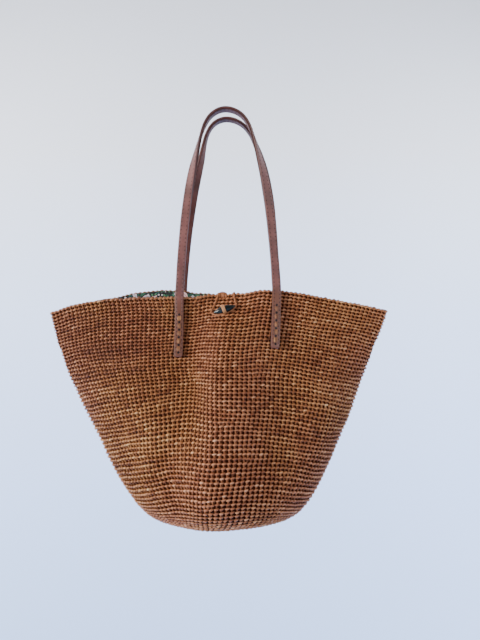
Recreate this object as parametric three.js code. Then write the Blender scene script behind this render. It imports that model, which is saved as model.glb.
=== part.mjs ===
// A crochet raffia handbag that hangs by its two leather handles, with a printed lining, a horn toggle and
// the raffia loop that closes its mouth.
// Millimetres. The front is -Y, +X is to the right seen from the front and +Z is up. The origin is where the
// handles rest on whatever holds the bag up, midway between the two.
import * as THREE from "three";
import { mergeVertices } from "three/addons/utils/BufferGeometryUtils.js";

// The crochet bag
const mouthWidth = 441;
const bagHeight = 304;
const frontDepth = 62;
const backDepth = 54;
const bagShift = -9.5;
const sideLean = 5;
const wall = 3;
const rimWave = 7;

// The lining, sewn in below the rim and loose further down
const liningWall = 1;
const liningDrop = 3;
const liningSlack = 1.2;

// The handles
const handleDrop = 230;
const strapWidth = 11;
const strapThick = 4;
const strapEdge = 0.8;
const leftLeg = 59;
const rightLeg = 64;
const backRightLeg = 67.5;
const backSway = 4;
const handleSpread = 30;
const leftSewn = 72;
const rightSewn = 68;
const rightSlant = 4;

// The toggle and its loop
const toggleLength = 29.5;
const toggleRadius = 4.8;
const toggleTilt = 24;
const toggleBelowRim = 24.5;
const toggleAside = 10.3;
const bindingWidth = 6;
const bindingThick = 1;
const loopRadius = 1.4;
const loopNeck = 20;
const loopInside = 14;
const loopSlack = 1.5;
const loopFlare = 0.6;
const loopLanding = 3;

// What keeps pieces apart, the gap under what lies on the faceted wall, how far below the rim a handle
// leaves it, and the step that the wall's slope is read over
const gap = 0.4;
const seatGap = 0.7;
const rimClear = 4;
const slopeStep = 4;

// How finely the soft forms are faceted
const frontColumns = 30;
const backColumns = 18;
const wallRings = 20;
const seatStations = 13;
const freeSteps = 3;
const loopSteps = 50;
const roundSides = 16;

// The bag's rings, from the middle of the base to the rim. rise is the height of a ring's middle as a share
// of the bag's height, drop is how far its two ends hang below that, half is its half width as a share of
// the mouth's, front and back are shares of the two depths, keen is the exponent of its outline, from 0.5
// for an ellipse to 1 for a lens with two sharp ends, and lean is how far it leans to the right, a share of
// sideLean.
const rings = [
  { rise: 0, half: 0, drop: 0, front: 0, back: 0, keen: 0.5, lean: -0.6 },
  { rise: 0.003, half: 0.12, drop: 0, front: 0.18, back: 0.2, keen: 0.5, lean: -0.6 },
  { rise: 0.011, half: 0.24, drop: 0, front: 0.34, back: 0.39, keen: 0.5, lean: 0 },
  { rise: 0.028, half: 0.345, drop: 0, front: 0.52, back: 0.59, keen: 0.5, lean: 0.5 },
  { rise: 0.056, half: 0.43, drop: 0, front: 0.7, back: 0.77, keen: 0.5, lean: 0.9 },
  { rise: 0.094, half: 0.485, drop: 0.001, front: 0.86, back: 0.88, keen: 0.5, lean: 1 },
  { rise: 0.14, half: 0.53, drop: 0.004, front: 0.95, back: 0.95, keen: 0.5, lean: 0.9 },
  { rise: 0.205, half: 0.58, drop: 0.011, front: 1, back: 1, keen: 0.51, lean: 0.7 },
  { rise: 0.3, half: 0.643, drop: 0.021, front: 1, back: 1, keen: 0.53, lean: 0.4 },
  { rise: 0.41, half: 0.705, drop: 0.033, front: 0.96, back: 0.96, keen: 0.56, lean: 0.3 },
  { rise: 0.52, half: 0.771, drop: 0.045, front: 0.89, back: 0.9, keen: 0.6, lean: 0 },
  { rise: 0.63, half: 0.829, drop: 0.056, front: 0.8, back: 0.8, keen: 0.66, lean: -0.4 },
  { rise: 0.74, half: 0.887, drop: 0.066, front: 0.68, back: 0.68, keen: 0.73, lean: -0.6 },
  { rise: 0.84, half: 0.932, drop: 0.075, front: 0.55, back: 0.55, keen: 0.81, lean: -0.5 },
  { rise: 0.93, half: 0.975, drop: 0.082, front: 0.43, back: 0.42, keen: 0.88, lean: -0.1 },
  { rise: 1, half: 1, drop: 0.087, front: 0.35, back: 0.33, keen: 0.92, lean: 0 },
];

// Ridges and dents, a row each. Its line runs from lowAt, at the rise low, to highAt, at the rise high, and
// its flanks reach lowLeft and lowRight to either side there, highLeft and highRight at the other end, all
// shares of the mouth's half width. It fades out over the share fade at either end. proud is how far it
// stands out, as a share of the depth.
const folds = {
  front: [
    {
      name: "crest", low: -0.08, high: 1.1, fade: 0.26, proud: 0.17,
      lowAt: -0.1, highAt: 0.1, lowLeft: 0.09, lowRight: 0.2, highLeft: 0.11, highRight: 0.26,
    },
    {
      name: "valley", low: 0.28, high: 1.15, fade: 0.32, proud: -0.26,
      lowAt: -0.18, highAt: -0.06, lowLeft: 0.05, lowRight: 0.07, highLeft: 0.42, highRight: 0.1,
    },
    {
      name: "low dent", low: 0.02, high: 0.5, fade: 0.15, proud: -0.07,
      lowAt: -0.25, highAt: -0.27, lowLeft: 0.06, lowRight: 0.06, highLeft: 0.07, highRight: 0.07,
    },
    {
      name: "right dent", low: 0.1, high: 0.85, fade: 0.3, proud: -0.07,
      lowAt: 0.36, highAt: 0.42, lowLeft: 0.18, lowRight: 0.14, highLeft: 0.2, highRight: 0.16,
    },
    {
      name: "pinch", low: 0.86, high: 1.4, fade: 0.14, proud: -0.2,
      lowAt: 0.04, highAt: 0.04, lowLeft: 0.1, lowRight: 0.12, highLeft: 0.1, highRight: 0.12,
    },
  ],
  back: [
    {
      name: "back valley", low: 0.15, high: 1, fade: 0.3, proud: -0.16,
      lowAt: 0.15, highAt: 0.3, lowLeft: 0.12, lowRight: 0.16, highLeft: 0.18, highRight: 0.22,
    },
    {
      name: "back ridge", low: -0.2, high: 0.9, fade: 0.3, proud: 0.07,
      lowAt: -0.12, highAt: -0.2, lowLeft: 0.16, lowRight: 0.12, highLeft: 0.2, highRight: 0.16,
    },
    {
      name: "back pinch", low: 0.84, high: 1.4, fade: 0.16, proud: -0.13,
      lowAt: 0.04, highAt: 0.04, lowLeft: 0.14, lowRight: 0.14, highLeft: 0.14, highRight: 0.14,
    },
  ],
};

// The rim's wave: how far it lifts, as a share of rimWave, at each share of the mouth's half width.
const rimLift = {
  front: [
    { at: -1, lift: -0.2 },
    { at: -0.85, lift: 0.2 },
    { at: -0.66, lift: 0.1 },
    { at: -0.52, lift: -0.33 },
    { at: -0.3, lift: -0.8 },
    { at: -0.15, lift: -1.05 },
    { at: -0.04, lift: -0.65 },
    { at: 0.13, lift: -0.42 },
    { at: 0.27, lift: 0.36 },
    { at: 0.4, lift: 0.46 },
    { at: 0.66, lift: 0.15 },
    { at: 1, lift: 0.2 },
  ],
  back: [
    { at: -1, lift: -0.2 },
    { at: -0.85, lift: 0.25 },
    { at: -0.66, lift: 0.35 },
    { at: -0.5, lift: 0.8 },
    { at: -0.35, lift: 0.82 },
    { at: -0.24, lift: 0.5 },
    { at: -0.12, lift: -0.17 },
    { at: 0.05, lift: -0.6 },
    { at: 0.25, lift: -0.1 },
    { at: 0.6, lift: 0.05 },
    { at: 1, lift: 0.2 },
  ],
};
const waveFrom = 0.5;

// One leg of a handle, from the top of its arch down to the rim: down is a share of the handle's drop, out
// one of the leg's distance from the top, turn how far the strap's face has turned from facing the front to
// facing sideways, in degrees, and sway how far the back handle hangs over to the right, a share of backSway.
const leg = [
  { down: 0, out: 0, turn: 90, sway: 0 },
  { down: 0.009, out: 0.17, turn: 90, sway: 0.1 },
  { down: 0.036, out: 0.33, turn: 90, sway: 0.2 },
  { down: 0.085, out: 0.46, turn: 88, sway: 0.4 },
  { down: 0.153, out: 0.555, turn: 78, sway: 0.7 },
  { down: 0.23, out: 0.635, turn: 60, sway: 1 },
  { down: 0.32, out: 0.72, turn: 38, sway: 1 },
  { down: 0.44, out: 0.805, turn: 18, sway: 0.85 },
  { down: 0.6, out: 0.885, turn: 6, sway: 0.55 },
  { down: 0.8, out: 0.955, turn: 2, sway: 0.2 },
];

// The toggle's outline: radius as a share of its own at each share of its half length.
const spindle = [
  { along: 0, radius: 1 },
  { along: 0.22, radius: 0.95 },
  { along: 0.47, radius: 0.77 },
  { along: 0.7, radius: 0.52 },
  { along: 0.88, radius: 0.28 },
  { along: 0.97, radius: 0.12 },
  { along: 1, radius: 0 },
];

// Small helpers

function clamp(value, low, high) {
  return Math.min(high, Math.max(low, value));
}

function smooth(low, high, value) {
  const share = clamp((value - low) / (high - low), 0, 1);
  return share * share * (3 - 2 * share);
}

function mix(a, b, share) {
  return a + (b - a) * share;
}

// One column of a table at row number place, as a smooth curve through its rows.
function column(rows, name, place) {
  const last = rows.length - 1;
  const i = clamp(Math.floor(place), 0, last - 1);
  const s = clamp(place - i, 0, 1);
  const value = (n) => rows[clamp(n, 0, last)][name];
  const [a, b, c, d] = [value(i - 1), value(i), value(i + 1), value(i + 2)];
  const slopeIn = (c - a) / 2;
  const slopeOut = (d - b) / 2;
  const bend = 3 * (c - b) - 2 * slopeIn - slopeOut;
  const twist = 2 * (b - c) + slopeIn + slopeOut;
  return b + s * (slopeIn + s * (bend + s * twist));
}

// A table's value at a key that lies between its rows, eased from row to row.
function lookUp(rows, key, name, at) {
  let i = 0;
  while (i < rows.length - 2 && rows[i + 1][key] < at) i += 1;
  const share = smooth(rows[i][key], rows[i + 1][key], at);
  return mix(rows[i][name], rows[i + 1][name], share);
}

// The bag's surface

function foldDepth(side, rise, x) {
  let sum = 0;
  for (const fold of folds[side]) {
    const share = clamp((rise - fold.low) / (fold.high - fold.low), 0, 1);
    const away = x - mix(fold.lowAt, fold.highAt, share);
    const left = mix(fold.lowLeft, fold.highLeft, share);
    const right = mix(fold.lowRight, fold.highRight, share);
    const begins = smooth(fold.low, fold.low + fold.fade, rise);
    const ends = 1 - smooth(fold.high - fold.fade, fold.high, rise);
    sum += fold.proud * begins * ends * Math.exp(-((away / (away < 0 ? left : right)) ** 2));
  }
  return sum;
}

// A point of the surface that lies inset inside the bag's outside. place runs along the rings, from 0 in the
// middle of the base to the last at the rim, and angle round them, from 0 at the right end over the back.
function bagPoint(place, angle, inset) {
  const lastRing = rings.length - 1;
  const at = clamp(place, 0, lastRing);
  const rise = column(rings, "rise", at);
  const side = Math.sin(angle) < 0 ? "front" : "back";
  const depthSize = side === "front" ? frontDepth : backDepth;
  const outerHalf = (column(rings, "half", at) * mouthWidth) / 2;
  const outerDepth = column(rings, side, at) * depthSize;
  const keen = column(rings, "keen", at);
  // Over the base the inset turns from sideways to upwards.
  const baseHalf = (rings[6].half * mouthWidth) / 2;
  const sideways = clamp(outerHalf / baseHalf, 0, 1);
  const upwards = Math.sqrt(1 - sideways * sideways);
  const thin = Math.min(1, inset / Math.max(outerDepth, inset, 1));
  const endInset = Math.max(inset, (outerHalf / 2) * thin ** (1 / keen));
  const half = Math.max(0, outerHalf - endInset * sideways);
  const depth = Math.max(0, outerDepth - inset * sideways);
  const along = Math.cos(angle);
  const x = half * along;
  const share = x / (mouthWidth / 2);
  const bulge = depth * Math.abs(Math.sin(angle)) ** (2 * keen) + foldDepth(side, rise, share) * depthSize;
  const y = side === "front" ? -bulge : bulge;
  const ends = outerHalf > 0 ? (x / outerHalf) ** 2 : 0;
  const wave = rimWave * lookUp(rimLift[side], "at", "lift", share) * smooth(waveFrom, 1, rise);
  const drop = column(rings, "drop", at) * ends;
  const z = -handleDrop - bagHeight * (1 - rise + drop) + wave + inset * upwards;
  return new THREE.Vector3(bagShift + sideLean * column(rings, "lean", at) + x, y, z);
}

// The place on the rings where the surface passes height z, x from the bag's middle, on the front or back.
function placeAt(x, z, side, inset) {
  let low = 1;
  let high = rings.length - 1;
  for (let i = 0; i < 40; i += 1) {
    const middle = (low + high) / 2;
    if (pointAtX(middle, x, side, inset).z < z) low = middle;
    else high = middle;
  }
  return low;
}

function pointAtX(place, x, side, inset) {
  const lean = sideLean * column(rings, "lean", place);
  const edge = bagPoint(place, 0, inset).x - bagShift - lean;
  const angle = Math.acos(clamp((x - lean) / edge, -1, 1));
  return bagPoint(place, side === "front" ? -angle : angle, inset);
}

// The way out of the bag's wall at x from the bag's middle and height z.
function wayOut(x, z, side) {
  const at = (a, b) => pointAtX(placeAt(a, b, side, 0), a, side, 0);
  const across = at(x + slopeStep, z).sub(at(x - slopeStep, z));
  const up = at(x, z).sub(at(x, z - slopeStep));
  const out = across.cross(up).normalize();
  return (side === "front") === (out.y < 0) ? out : out.negate();
}

function rimHeight(x, side) {
  return pointAtX(rings.length - 1, x, side, 0).z;
}

// Meshes

function geometryOf(points, faces) {
  const geometry = new THREE.BufferGeometry();
  const places = points.flatMap((p) => [p.x, p.y, p.z]);
  geometry.setAttribute("position", new THREE.Float32BufferAttribute(places, 3));
  geometry.setIndex(faces.flat());
  geometry.computeVertexNormals();
  return geometry;
}

// The angles of a ring's points, evener along the walls than a circle's would be.
function ringAngles() {
  const evenness = 0.35;
  const half = (count, from) =>
    Array.from({ length: count }, (_, i) => {
      const share = i / count;
      const x = mix(Math.cos(Math.PI * share), 1 - 2 * share, evenness);
      return from + Math.acos(clamp(x, -1, 1));
    });
  return [...half(backColumns, 0), ...half(frontColumns, Math.PI)];
}

// A bag of two surfaces that meet in a strip at the rim. Each is given by its inset at a place on the rings.
// Each patch is split along the shorter of its diagonals, as measured on the bag's outside.
function shell(places, outerInset, innerInset) {
  const angles = ringAngles();
  const count = angles.length;
  const points = [];
  const faces = [];
  const outside = places.map((place) => angles.map((angle) => bagPoint(place, angle, 0)));
  const across = (a, b, i, j) => outside[a][i].distanceTo(outside[b][j]);
  const surface = (insetAt, outwards) => {
    const pole = points.length;
    points.push(bagPoint(0, 0, insetAt(0)));
    for (const place of places) {
      for (const angle of angles) points.push(bagPoint(place, angle, insetAt(place)));
    }
    const add = (a, b, c) => faces.push(outwards ? [a, b, c] : [a, c, b]);
    for (let i = 0; i < count; i += 1) {
      const next = (i + 1) % count;
      add(pole, pole + 1 + next, pole + 1 + i);
      for (let ring = 0; ring < places.length - 1; ring += 1) {
        const low = pole + 1 + ring * count;
        const high = low + count;
        if (across(ring, ring + 1, i, next) < across(ring, ring + 1, next, i)) {
          add(low + i, low + next, high + next);
          add(low + i, high + next, high + i);
        } else {
          add(low + i, low + next, high + i);
          add(low + next, high + next, high + i);
        }
      }
    }
    return pole + 1 + (places.length - 1) * count;
  };
  const outerRim = surface(outerInset, true);
  const innerRim = surface(innerInset, false);
  for (let i = 0; i < count; i += 1) {
    const next = (i + 1) % count;
    faces.push([outerRim + i, outerRim + next, innerRim + i]);
    faces.push([outerRim + next, innerRim + next, innerRim + i]);
  }
  return geometryOf(points, faces);
}

// The places of the rings that are drawn. The lining's top is one of them, so the walls' facets run alike.
function ringPlaces() {
  const top = placeBelowRim(liningDrop);
  return [...Array.from({ length: wallRings }, (_, i) => ((i + 1) / wallRings) * top), rings.length - 1];
}

function placeBelowRim(below) {
  return placeAt(0, rimHeight(0, "back") - below, "back", 0);
}

function crochetBag() {
  return shell(ringPlaces(), () => 0, () => wall);
}

function lining() {
  const top = placeBelowRim(liningDrop);
  const fitted = 2;
  const loose = (place) => liningSlack * (1 - smooth(top - fitted, top, place));
  const outer = (place) => wall + gap + loose(place);
  return shell(ringPlaces().slice(0, -1), outer, (place) => outer(place) + liningWall);
}

const raffia = new THREE.MeshStandardMaterial({ color: "#a3683f", roughness: 0.75, metalness: 0 });
const paleRaffia = new THREE.MeshStandardMaterial({ color: "#b98a5c", roughness: 0.7, metalness: 0 });
const leather = new THREE.MeshStandardMaterial({ color: "#83544a", roughness: 0.6, metalness: 0 });
const print = new THREE.MeshStandardMaterial({ color: "#1f2a2c", roughness: 0.85, metalness: 0 });
const horn = new THREE.MeshStandardMaterial({ color: "#0d1a1c", roughness: 0.25, metalness: 0 });

function named(name, geometry, material) {
  const mesh = new THREE.Mesh(geometry, material);
  mesh.name = name;
  return mesh;
}

const bagBody = named("bag_body", crochetBag(), raffia);
const bagLining = named("lining", lining(), print);

// Where a level line at x from the bag's middle and height z first meets a mesh, coming from y along way.
function meets(mesh, x, z, y, way) {
  const caster = new THREE.Raycaster(new THREE.Vector3(bagShift + x, y, z), new THREE.Vector3(0, way, 0));
  const hits = caster.intersectObject(mesh);
  return hits.length > 0 ? hits[0].point : null;
}

// The middle of something width wide, tall tall and thick thick that lies on the wall there, clear of its
// facets.
function seatOn(x, z, side, width, tall, thick) {
  const far = side === "front" ? -mouthWidth : mouthWidth;
  const out = wayOut(x, z, side);
  const across = new THREE.Vector3(out.y, -out.x, 0).normalize();
  const middle = meets(bagBody, x, z, far, -Math.sign(far));
  let lift = 0;
  for (const share of [-0.5, -0.25, 0.25, 0.5]) {
    for (const rise of [-tall / 2, 0, tall / 2]) {
      const beside = meets(bagBody, x + across.x * share * width, z + rise, far, -Math.sign(far));
      if (beside) lift = Math.max(lift, beside.sub(middle).dot(out));
    }
  }
  return { centre: middle.addScaledVector(out, lift + seatGap + thick / 2), face: out };
}

// Straps: a flat section with eased edges, carried along a curve

function strapSection(widthway, faceway, centre) {
  const w = strapWidth / 2;
  const t = strapThick / 2;
  const corners = [
    [w, t - strapEdge], [w - strapEdge, t], [strapEdge - w, t], [-w, t - strapEdge],
    [-w, strapEdge - t], [strapEdge - w, -t], [w - strapEdge, -t], [w, strapEdge - t],
  ];
  return corners.map(([a, b]) => centre.clone().addScaledVector(widthway, a).addScaledVector(faceway, b));
}

// One leg's stations, from the end that is sewn to the wall up to the top of the arch.
function legStations(side, hand) {
  const toFront = side === "front" ? -1 : 1;
  const topY = (toFront * handleSpread) / 2;
  const topZ = strapThick / 2;
  const right = side === "front" ? rightLeg : backRightLeg;
  const x = (hand < 0 ? -leftLeg : right) - bagShift;
  const rim = rimHeight(x, side) - rimClear;
  const sewn = Array.from({ length: seatStations }, (_, i) => {
    const share = 1 - i / (seatStations - 1);
    const below = (hand < 0 ? leftSewn : rightSewn) * share;
    const slant = hand < 0 ? 0 : rightSlant * share;
    return seatOn(x - slant, rim - below, side, strapWidth, strapWidth / 2, strapThick);
  });
  const seat = sewn[sewn.length - 1];
  const free = [...leg].reverse().map(({ down, out, turn, sway }) => {
    const centre = new THREE.Vector3(
      mix(0, seat.centre.x, out) + (side === "back" ? backSway * sway : 0),
      mix(topY, seat.centre.y, smooth(0, 1, down)),
      mix(topZ, seat.centre.z, down),
    );
    const angle = THREE.MathUtils.degToRad(turn);
    const top = Math.max(0, 1 - out * 4);
    const face = new THREE.Vector3(hand * Math.sin(angle) * (1 - top), 0, top);
    return { centre, face: face.addScaledVector(seat.face, Math.cos(angle)).normalize() };
  });
  return [...sewn, ...free];
}

function strap(side) {
  const left = legStations(side, -1);
  const right = legStations(side, 1).reverse();
  const stations = [...left, ...right.slice(1)];
  const line = new THREE.CatmullRomCurve3(stations.map((s) => s.centre), false, "centripetal");
  const faces = new THREE.CatmullRomCurve3(stations.map((s) => s.face), false, "catmullrom");
  const points = [];
  const triangles = [];
  const corners = 8;
  const shares = [];
  const last = stations.length - 1;
  for (let i = 0; i < last; i += 1) {
    const sewn = i < seatStations - 1 || i >= last - seatStations + 1;
    const parts = sewn ? 1 : freeSteps;
    for (let j = 0; j < parts; j += 1) shares.push((i + j / parts) / last);
  }
  shares.push(1);
  shares.forEach((t, step) => {
    const way = line.getTangent(t);
    const face = faces.getPoint(t);
    face.addScaledVector(way, -face.dot(way)).normalize();
    const across = face.clone().cross(way);
    points.push(...strapSection(across, face, line.getPoint(t)));
    if (step === 0) return;
    const base = (step - 1) * corners;
    for (let i = 0; i < corners; i += 1) {
      const next = (i + 1) % corners;
      triangles.push([base + i, base + next, base + corners + i]);
      triangles.push([base + next, base + corners + next, base + corners + i]);
    }
  });
  const end = (shares.length - 1) * corners;
  for (let i = 1; i < corners - 1; i += 1) {
    triangles.push([0, i + 1, i]);
    triangles.push([end, end + i, end + i + 1]);
  }
  return geometryOf(points, triangles);
}

// The toggle, its binding and the loop

function toggleFrame() {
  const z = rimHeight(toggleAside, "front") - toggleBelowRim;
  const thick = 2 * (toggleRadius + gap + bindingThick);
  const { centre, face } = seatOn(toggleAside, z, "front", bindingWidth, bindingThick, thick);
  const level = new THREE.Vector3(-face.y, face.x, 0).normalize();
  const up = face.clone().cross(level).negate();
  if (up.z < 0) up.negate();
  const tilt = THREE.MathUtils.degToRad(toggleTilt);
  const along = level.clone().multiplyScalar(Math.cos(tilt)).addScaledVector(up, Math.sin(tilt));
  const across = up.multiplyScalar(Math.cos(tilt)).addScaledVector(level, -Math.sin(tilt));
  return { centre, along, across, face };
}

// Turns a lathed shape, whose axis is Y, so that its axis lies along the toggle.
function layAlong(mesh) {
  const { centre, along } = toggleFrame();
  mesh.quaternion.setFromUnitVectors(new THREE.Vector3(0, 1, 0), along);
  mesh.position.copy(centre);
  return mesh;
}

function lathe(profile) {
  const geometry = new THREE.LatheGeometry(profile, roundSides);
  geometry.deleteAttribute("uv");
  geometry.deleteAttribute("normal");
  const merged = mergeVertices(geometry, 1e-4);
  merged.computeVertexNormals();
  return merged;
}

function toggle() {
  const half = spindle.map(({ along, radius }) => [radius * toggleRadius, (along * toggleLength) / 2]);
  const below = half.slice(1).reverse().map(([r, y]) => [r, -y]);
  return lathe([...below, ...half].map(([r, y]) => new THREE.Vector2(r, y)));
}

function toggleBinding() {
  const inner = toggleRadius + gap;
  const outer = inner + bindingThick;
  const ease = bindingThick / 3;
  const half = bindingWidth / 2;
  const profile = [
    [inner, -half], [outer - ease, -half], [outer, ease - half], [outer, half - ease],
    [outer - ease, half], [inner, half], [inner, -half],
  ];
  return lathe(profile.map(([r, y]) => new THREE.Vector2(r, y)));
}

// The loop's cord: up the inside of the back, over the front rim, down the front and round the toggle.
function loopRoute() {
  const { centre, along, across, face } = toggleFrame();
  const clear = loopRadius + seatGap;
  const onWall = centre.clone().addScaledVector(face, loopRadius - bindingThick - toggleRadius);
  const round = (share, away) => {
    const spot = onWall.clone().addScaledVector(across, away);
    spot.addScaledVector(along, (share * toggleLength) / 2);
    return seatOn(spot.x - bagShift, spot.z, "front", cord, cord, cord + 2 * gap).centre;
  };
  const cord = 2 * loopRadius;
  const beside = toggleRadius + bindingThick + loopSlack + loopRadius;
  const half = (hand) => {
    const x = toggleAside + (hand * loopNeck) / 2;
    const inBack = (below) => {
      const z = rimHeight(x, "back") - below;
      return meets(bagLining, x, z, 0, 1).addScaledVector(wayOut(x, z, "back"), -clear);
    };
    const rimTop = rimHeight(x, "front");
    const rimFace = meets(bagBody, x, rimTop - loopLanding, -mouthWidth, 1).y;
    const over = (behind, above) => new THREE.Vector3(bagShift + x, rimFace + behind, rimTop + above);
    const onFront = (aside, below) =>
      seatOn(x + hand * aside, rimTop - below, "front", cord, cord, cord).centre;
    return [
      inBack(loopInside),
      inBack(loopInside / 2),
      over(wall + 1.1 * clear, 0.6 * clear),
      over(wall / 2, 1.25 * clear),
      over(-0.9 * clear, 0.6 * clear),
      onFront(loopFlare, loopLanding),
      ...(hand < 0 ? [round(hand * 0.9, 0.9 * beside)] : []),
      round(hand * 1.07, 0.45 * beside),
      round(hand * 1.12, 0),
      round(hand * 0.75, -0.75 * beside),
      round(hand * 0.35, -beside),
    ];
  };
  return new THREE.CatmullRomCurve3([...half(-1), ...half(1).reverse()], false, "centripetal");
}

function closureLoop() {
  const section = new THREE.Shape().absarc(0, 0, loopRadius, 0, 2 * Math.PI);
  const geometry = new THREE.ExtrudeGeometry(section, {
    extrudePath: loopRoute(),
    steps: loopSteps,
    curveSegments: 4,
    bevelEnabled: false,
  });
  geometry.deleteAttribute("uv");
  geometry.deleteAttribute("normal");
  const merged = mergeVertices(geometry, 1e-4);
  merged.computeVertexNormals();
  return merged;
}

// The handbag

const handbag = new THREE.Group();
handbag.add(
  bagBody,
  bagLining,
  named("front_handle", strap("front"), leather),
  named("back_handle", strap("back"), leather),
  layAlong(named("toggle", toggle(), horn)),
  layAlong(named("toggle_binding", toggleBinding(), paleRaffia)),
  named("closure_loop", closureLoop(), raffia),
);

export default handbag;
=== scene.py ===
"""Looks of a crochet raffia handbag that hangs by two leather handles, with a printed lining, a horn
toggle and a raffia loop. Metres in the objects; the tables and sizes here are in millimetres."""

import math

import bpy
import numpy as np
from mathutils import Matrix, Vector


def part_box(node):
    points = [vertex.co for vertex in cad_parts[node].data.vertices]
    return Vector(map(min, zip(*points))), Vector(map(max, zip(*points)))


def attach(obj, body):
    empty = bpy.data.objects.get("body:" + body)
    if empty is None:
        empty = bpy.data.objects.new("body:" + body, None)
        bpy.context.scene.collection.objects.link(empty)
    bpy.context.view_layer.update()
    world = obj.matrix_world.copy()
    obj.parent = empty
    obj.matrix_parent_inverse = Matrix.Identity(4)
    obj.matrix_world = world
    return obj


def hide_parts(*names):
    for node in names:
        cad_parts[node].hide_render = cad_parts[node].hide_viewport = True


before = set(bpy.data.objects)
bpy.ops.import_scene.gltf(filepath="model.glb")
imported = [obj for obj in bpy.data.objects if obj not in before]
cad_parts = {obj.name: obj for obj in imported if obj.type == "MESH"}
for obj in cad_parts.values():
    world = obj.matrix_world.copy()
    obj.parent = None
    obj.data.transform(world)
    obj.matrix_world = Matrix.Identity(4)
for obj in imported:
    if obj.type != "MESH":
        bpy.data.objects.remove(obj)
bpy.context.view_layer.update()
rng = np.random.default_rng(7)
MM = 0.001

# Camera

CAMERA_AT = (0.0183, -0.605, -0.267)
SENSOR_WIDTH, LENS, NEAR, FAR = 27.0, 26.0, 0.05, 20.0

camera_data = bpy.data.cameras.new("camera")
camera_data.sensor_fit = "HORIZONTAL"
camera_data.sensor_width, camera_data.lens = SENSOR_WIDTH, LENS
camera_data.clip_start, camera_data.clip_end = NEAR, FAR
camera = bpy.data.objects.new("camera", camera_data)
camera.location = CAMERA_AT
camera.rotation_euler = (math.radians(90), 0, 0)
bpy.context.scene.collection.objects.link(camera)
bpy.context.scene.camera = camera

# The bag's form, as in the solid

MOUTH = 441.0
HEIGHT = 304.0
FRONT_DEPTH = 62.0
BACK_DEPTH = 54.0
SHIFT = -9.5
SIDE_LEAN = 5.0
RIM_WAVE = 7.0
DROP = 230.0
WAVE_FROM = 0.5

RISE, HALF, SAG, FRONT, BACK, KEEN, LEAN = range(7)
RINGS = np.array([
    # rise, half, drop, front, back, keen, lean
    (0, 0, 0, 0, 0, 0.5, -0.6),
    (0.003, 0.12, 0, 0.18, 0.2, 0.5, -0.6),
    (0.011, 0.24, 0, 0.34, 0.39, 0.5, 0),
    (0.028, 0.345, 0, 0.52, 0.59, 0.5, 0.5),
    (0.056, 0.43, 0, 0.7, 0.77, 0.5, 0.9),
    (0.094, 0.485, 0.001, 0.86, 0.88, 0.5, 1),
    (0.14, 0.53, 0.004, 0.95, 0.95, 0.5, 0.9),
    (0.205, 0.58, 0.011, 1, 1, 0.51, 0.7),
    (0.3, 0.643, 0.021, 1, 1, 0.53, 0.4),
    (0.41, 0.705, 0.033, 0.96, 0.96, 0.56, 0.3),
    (0.52, 0.771, 0.045, 0.89, 0.9, 0.6, 0),
    (0.63, 0.829, 0.056, 0.8, 0.8, 0.66, -0.4),
    (0.74, 0.887, 0.066, 0.68, 0.68, 0.73, -0.6),
    (0.84, 0.932, 0.075, 0.55, 0.55, 0.81, -0.5),
    (0.93, 0.975, 0.082, 0.43, 0.42, 0.88, -0.1),
    (1, 1, 0.087, 0.35, 0.33, 0.92, 0),
])
LAST = len(RINGS) - 1
UPRIGHT_RING = 6
HALVINGS = 40
WAY_STEP = 4.0

# low, high, fade, proud, lowAt, highAt, lowLeft, lowRight, highLeft, highRight
FRONT_FOLDS = [
    (-0.08, 1.1, 0.26, 0.17, -0.1, 0.1, 0.09, 0.2, 0.11, 0.26),
    (0.28, 1.15, 0.32, -0.26, -0.18, -0.06, 0.05, 0.07, 0.42, 0.1),
    (0.02, 0.5, 0.15, -0.07, -0.25, -0.27, 0.06, 0.06, 0.07, 0.07),
    (0.1, 0.85, 0.3, -0.07, 0.36, 0.42, 0.18, 0.14, 0.2, 0.16),
    (0.86, 1.4, 0.14, -0.2, 0.04, 0.04, 0.1, 0.12, 0.1, 0.12),
]
BACK_FOLDS = [
    (0.15, 1, 0.3, -0.16, 0.15, 0.3, 0.12, 0.16, 0.18, 0.22),
    (-0.2, 0.9, 0.3, 0.07, -0.12, -0.2, 0.16, 0.12, 0.2, 0.16),
    (0.84, 1.4, 0.16, -0.13, 0.04, 0.04, 0.14, 0.14, 0.14, 0.14),
]

FRONT_LIFT = np.array([
    (-1, -0.2), (-0.85, 0.2), (-0.66, 0.1), (-0.52, -0.33), (-0.3, -0.8), (-0.15, -1.05),
    (-0.04, -0.65), (0.13, -0.42), (0.27, 0.36), (0.4, 0.46), (0.66, 0.15), (1, 0.2),
])
BACK_LIFT = np.array([
    (-1, -0.2), (-0.85, 0.25), (-0.66, 0.35), (-0.5, 0.8), (-0.35, 0.82), (-0.24, 0.5),
    (-0.12, -0.17), (0.05, -0.6), (0.25, -0.1), (0.6, 0.05), (1, 0.2),
])


def smooth(low, high, value):
    share = np.clip((value - low) / (high - low), 0, 1)
    return share * share * (3 - 2 * share)


def mix(a, b, share):
    return a + (b - a) * share


def column(index, place):
    """A column of RINGS at row number place, as a smooth curve through its rows."""
    i = np.clip(np.floor(place).astype(int), 0, LAST - 1)
    s = np.clip(place - i, 0, 1)
    value = RINGS[:, index]
    a, b = value[np.clip(i - 1, 0, LAST)], value[i]
    c, d = value[np.clip(i + 1, 0, LAST)], value[np.clip(i + 2, 0, LAST)]
    slope_in, slope_out = (c - a) / 2, (d - b) / 2
    bend = 3 * (c - b) - 2 * slope_in - slope_out
    twist = 2 * (b - c) + slope_in + slope_out
    return b + s * (slope_in + s * (bend + s * twist))


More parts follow.
